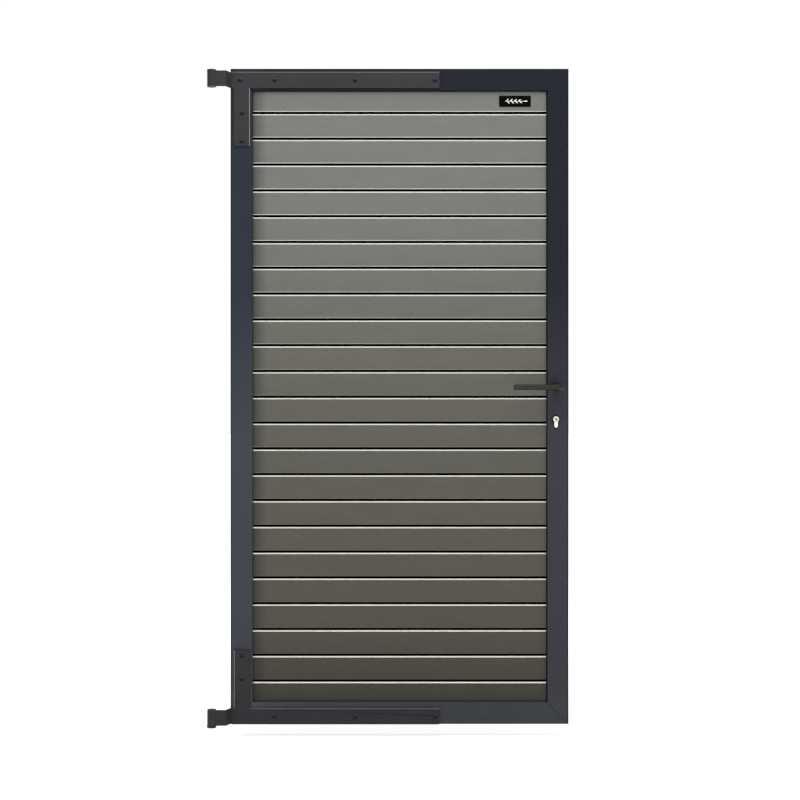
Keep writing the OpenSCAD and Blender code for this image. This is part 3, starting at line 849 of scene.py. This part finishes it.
def to_mesh(name, made, body, look):
    """Turns a finished bmesh into a piece."""
    bmesh.ops.recalc_face_normals(made, faces=made.faces)
    mesh = bpy.data.meshes.new(name)
    made.to_mesh(mesh)
    made.free()
    mesh.materials.append(MATERIALS[look])
    piece = new_piece(name, mesh)
    shade(piece)
    if body:
        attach(piece, body)
    return piece


def add_prism(made, outline, front, back):
    """Adds an outline in X and Z to a bmesh, thick from front to back in Y."""
    near = [made.verts.new((x, front, z)) for x, z in outline]
    far = [made.verts.new((x, back, z)) for x, z in outline]
    made.faces.new(near)
    made.faces.new(far[::-1])
    for i in range(len(outline)):
        j = (i + 1) % len(outline)
        made.faces.new((near[i], far[i], far[j], near[j]))


def build_rain_seal():
    """Flat rubber strip under the top rail, in front of the top slat; near black, it also
    stands in for the shade under the rail.
    """
    slat_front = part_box("slat_01")[0].y
    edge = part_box("top_rail")[0].z
    drop = 1.0 * MM
    depth = 8.5 * MM
    overlap = 0.1 * MM
    lip_round = 0.2 * MM
    corners = [
        (slat_front - depth, edge + overlap, 0.0, 0),
        (slat_front + overlap, edge + overlap, 0.0, 0),
        (slat_front + overlap, edge - drop, 0.0, 0),
        (slat_front - depth, edge - drop, lip_round, 0),
    ]
    outline, _ = rounded(corners, 3)
    left, right = stile_inner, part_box("lock_stile")[0].x
    points, faces = prism(outline, left, right)
    shade(add_mesh("rain_seal", points, faces, "leaf", ["rubber"]))


def build_thread(name, mount):
    """Rolled thread that stands on a stud, as one long triangular ridge."""
    place_at = Vector(mount["pos_m"])
    radius = mount["dims"]["r_mm"] * MM
    length = mount["dims"]["length_mm"] * MM
    pitch, steps, lead_in = 2 * MM, 28, 2 * MM
    turns = (length - 2 * lead_in) / pitch
    count = round(turns * steps)
    half_base, root, crest = 0.8 * MM, -0.15 * MM, 0.45 * MM
    section = [(-half_base, root), (0.0, crest), (half_base, root)]
    made = bmesh.new()
    rings = []
    for i in range(count + 1):
        turn = 2 * math.pi * i / steps
        fade = min(1.0, 2 * i / steps, 2 * (count - i) / steps)
        ring = []
        for along, out in section:
            reach = radius + min(out, out * fade)
            ring.append(
                made.verts.new(
                    (
                        place_at.x + reach * math.cos(turn),
                        place_at.y + lead_in + pitch * i / steps + along,
                        place_at.z + reach * math.sin(turn),
                    )
                )
            )
        rings.append(ring)
    for before, after in zip(rings, rings[1:]):
        for a, b in ((0, 1), (1, 2), (2, 0)):
            made.faces.new((before[a], before[b], after[b], after[a]))
    made.faces.new(rings[0])
    made.faces.new(rings[-1])
    to_mesh(name, made, "post_fittings", "bolt")


def leaf_outline(root, tip, width):
    """A pointed leaf from its root to its tip, widest in the middle."""
    steps = 8
    root, tip = Vector(root), Vector(tip)
    along = tip - root
    across = Vector((-along.y, along.x)).normalized() * width / 2
    side = [
        (root + along * i / steps, across * math.sin(math.pi * i / steps))
        for i in range(1, steps)
    ]
    upper = [point + offset for point, offset in side]
    lower = [point - offset for point, offset in reversed(side)]
    return [tuple(p) for p in [root] + upper + [tip] + lower]


def build_badge_mark():
    """A generic raised sprig of leaves on the badge."""
    low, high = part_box("badge")
    middle = (low + high) / 2
    half = 0.31 * (high.x - low.x)
    front = low.y - 0.4 * MM
    leaf_face = front - 0.05 * MM
    sunk = low.y + 0.2 * MM
    pairs = 4
    pitch = 2 * half / (pairs + 0.8)
    stem_thick, leaf_width, end_leaf_width = 0.9 * MM, 2.6 * MM, 3.2 * MM
    longest, shortening = 7.0, 0.45
    lean, stagger = 0.75, 0.3
    made = bmesh.new()
    stem = [(middle.x - half, middle.z - 0.6 * MM), (middle.x + half, middle.z - 0.4 * MM)]
    stem += [(x, z + stem_thick) for x, z in reversed(stem)]
    add_prism(made, stem, front, sunk)
    for i in range(pairs):
        x = middle.x - half + (i + 0.15) * pitch
        reach = (longest - shortening * i) * MM
        for side in (1, -1):
            root = (x + (stagger if side < 0 else 0.0) * pitch, middle.z)
            tip = (root[0] + lean * pitch, middle.z + side * reach)
            add_prism(made, leaf_outline(root, tip, leaf_width), leaf_face, sunk)
    root = (middle.x + half - 0.2 * pitch, middle.z)
    tip = (middle.x + half + 0.7 * pitch, middle.z + 0.3 * MM)
    add_prism(made, leaf_outline(root, tip, end_leaf_width), leaf_face, sunk)
    to_mesh("badge_mark", made, "leaf", "mark")


KEYWAY_TURN = math.radians(60)


def build_keyway(name, plug, outward):
    """Near-black lining that stands for the shade in a keyway, sunk just below the face of
    its plug.
    """
    low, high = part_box(plug)
    centre_x = (low.x + high.x) / 2
    centre_z = (low.z + high.z) / 2
    face = low.y if outward < 0 else high.y
    half_long, half_wide = 4.4 * MM, 1.5 * MM
    near, far = face - outward * 0.25 * MM, face - outward * 2.5 * MM
    spin = outward * KEYWAY_TURN + math.pi / 2
    steps = 6
    outline = []
    for side in (1, -1):
        for step in range(steps + 1):
            turn = math.pi * (step / steps - 0.5) + (0 if side > 0 else math.pi)
            x = half_wide * math.cos(turn) + side * (half_long - half_wide)
            z = half_wide * math.sin(turn)
            outline.append(
                (
                    centre_x + x * math.cos(spin) - z * math.sin(spin),
                    centre_z + x * math.sin(spin) + z * math.cos(spin),
                )
            )
    made = bmesh.new()
    add_prism(made, outline, near, far)
    to_mesh(name, made, "key_barrel", "dark")


def build_latch_coil():
    """Coil between the lock case and the latch."""
    low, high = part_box("latch_spring")
    middle = (low + high) / 2
    wire, steps, sides = 0.4 * MM, 24, 8
    radius = (high.z - low.z) / 2 - wire
    start, end = low.x + wire, high.x - wire
    closed_pitch, open_turns, closed_turns = 2.1 * wire, 8, 2
    open_pitch = (end - start - closed_turns * closed_pitch) / open_turns
    made = bmesh.new()
    rings = []
    for i in range((open_turns + closed_turns) * steps + 1):
        turns = i / steps
        opened = min(max(turns - 1, 0), open_turns)
        x = start + (turns - opened) * closed_pitch + opened * open_pitch
        ring = []
        for side in range(sides):
            around = 2 * math.pi * side / sides
            reach = radius + wire * math.cos(around)
            ring.append(
                made.verts.new(
                    (
                        x + wire * math.sin(around),
                        middle.y + reach * math.cos(2 * math.pi * turns),
                        middle.z + reach * math.sin(2 * math.pi * turns),
                    )
                )
            )
        rings.append(ring)
    for before, after in zip(rings, rings[1:]):
        for a in range(sides):
            b = (a + 1) % sides
            made.faces.new((before[a], before[b], after[b], after[a]))
    made.faces.new(rings[0])
    made.faces.new(rings[-1])
    coil = to_mesh("latch_coil", made, None, "spring")
    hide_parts("latch_spring")
    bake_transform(coil)


build_rain_seal()
build_latch_coil()
for mount in frame["record"]["mounts"]:
    if mount["kind"] == "pin":
        build_thread(mount["name"] + "_thread", mount)
build_badge_mark()
build_keyway("front_keyway", "front_plug", -1)
build_keyway("rear_keyway", "rear_plug", 1)


# ---- Stage ----


def build_floor():
    """A pale round floor that fades to white away from the gate."""
    low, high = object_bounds()
    centre = (low + high) / 2
    level = low.z - 30 * MM
    count = 96
    radius = 40.0
    fade_start, fade_end = 0.3, 2.2
    points = [
        (
            centre.x + radius * math.cos(2 * math.pi * i / count),
            centre.y + radius * math.sin(2 * math.pi * i / count),
            level,
        )
        for i in range(count)
    ]
    mesh = bpy.data.meshes.new("floor")
    mesh.from_pydata(points, [], [tuple(range(count))])
    new_piece("floor", mesh)
    material, tree, shader = new_material("floor_pale")
    at = node(tree, "ShaderNodeTexCoord").outputs["Object"]
    offset = node(
        tree,
        "ShaderNodeVectorMath",
        {0: at, 1: (centre.x, centre.y, level)},
        operation="DISTANCE",
    ).outputs["Value"]
    cloud = noise(tree, at, 14.0, 4.0)
    body = mix(tree, cloud, rgb(240, 240, 240), rgb(248, 248, 248))
    tree.links.new(body, shader.inputs["Base Color"])
    shader.inputs["Roughness"].default_value = 0.9
    shader.inputs["Specular IOR Level"].default_value = 0.1
    shader.inputs["Emission Color"].default_value = (1, 1, 1, 1)
    glow = ramp(tree, offset, fade_start, fade_end, 0.55, 1.0)
    tree.links.new(glow, shader.inputs["Emission Strength"])
    mesh.materials.append(material)


build_floor()


stile_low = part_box("hinge_stile")[0]
leaf_front = stile_low.y
leaf_mid_x = (stile_low.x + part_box("lock_stile")[1].x) / 2


def area_light(name, place_at, look_at, width, depth, power):
    """A rectangular lamp, in metres and watts."""
    light = bpy.data.lights.new(name, "AREA")
    light.shape = "RECTANGLE"
    light.size = width
    light.size_y = depth
    light.energy = power
    lamp = bpy.data.objects.new(name, light)
    lamp.location = place_at
    aim = Vector(look_at) - Vector(place_at)
    lamp.rotation_euler = aim.to_track_quat("-Z", "Y").to_euler()
    bpy.context.scene.collection.objects.link(lamp)


area_light("overhead", (leaf_mid_x, -0.2, 3.6), (leaf_mid_x, -0.2, 0), 3.6, 2.4, 55)
area_light("front_top", (leaf_mid_x, -1.7, 3.0), (leaf_mid_x, 0, 1.4), 2.4, 1.2, 27)
area_light("back_fill", (leaf_mid_x, 3.2, 2.4), (leaf_mid_x, 0, 1.0), 2.4, 1.6, 30)


def build_world():
    """White behind everything, and a dimmer room that lights the gate."""
    world = bpy.data.worlds.new("studio")
    bpy.context.scene.world = world
    world.use_nodes = True
    tree = world.node_tree
    tree.nodes.clear()
    direction = node(tree, "ShaderNodeTexCoord").outputs["Generated"]
    up = node(tree, "ShaderNodeSeparateXYZ", {0: direction}).outputs["Z"]
    dim, bright = 0.11, 0.375
    room = ramp(tree, up, -0.2, 0.9, dim, bright)
    seen = node(tree, "ShaderNodeLightPath").outputs["Is Camera Ray"]
    strength = maths(
        tree,
        "ADD",
        maths(tree, "MULTIPLY", seen, 1.0),
        maths(tree, "MULTIPLY", maths(tree, "SUBTRACT", 1.0, seen), room),
    )
    background = node(
        tree, "ShaderNodeBackground", {"Color": (1, 1, 1, 1), "Strength": strength}
    )
    node(tree, "ShaderNodeOutputWorld", {"Surface": background.outputs[0]})


build_world()


# ---- Camera ----


def build_camera():
    """Level and square on, as the photograph is taken."""
    distance = 4.5
    seen_width = 2.3190
    right, down = 1.3 * MM, 10.5 * MM
    sensor = 36.0
    camera = bpy.data.cameras.new("camera")
    camera.sensor_width = sensor
    camera.lens = sensor * distance / seen_width
    camera.clip_start = 0.05
    camera.clip_end = 100
    eye = bpy.data.objects.new("camera", camera)
    eye.location = (leaf_mid_x + right, leaf_front - distance, leaf_mid_z - down)
    eye.rotation_euler = (math.radians(90), 0, 0)
    bpy.context.scene.collection.objects.link(eye)
    bpy.context.scene.camera = eye


build_camera()

bpy.context.scene.view_settings.view_transform = "Standard"
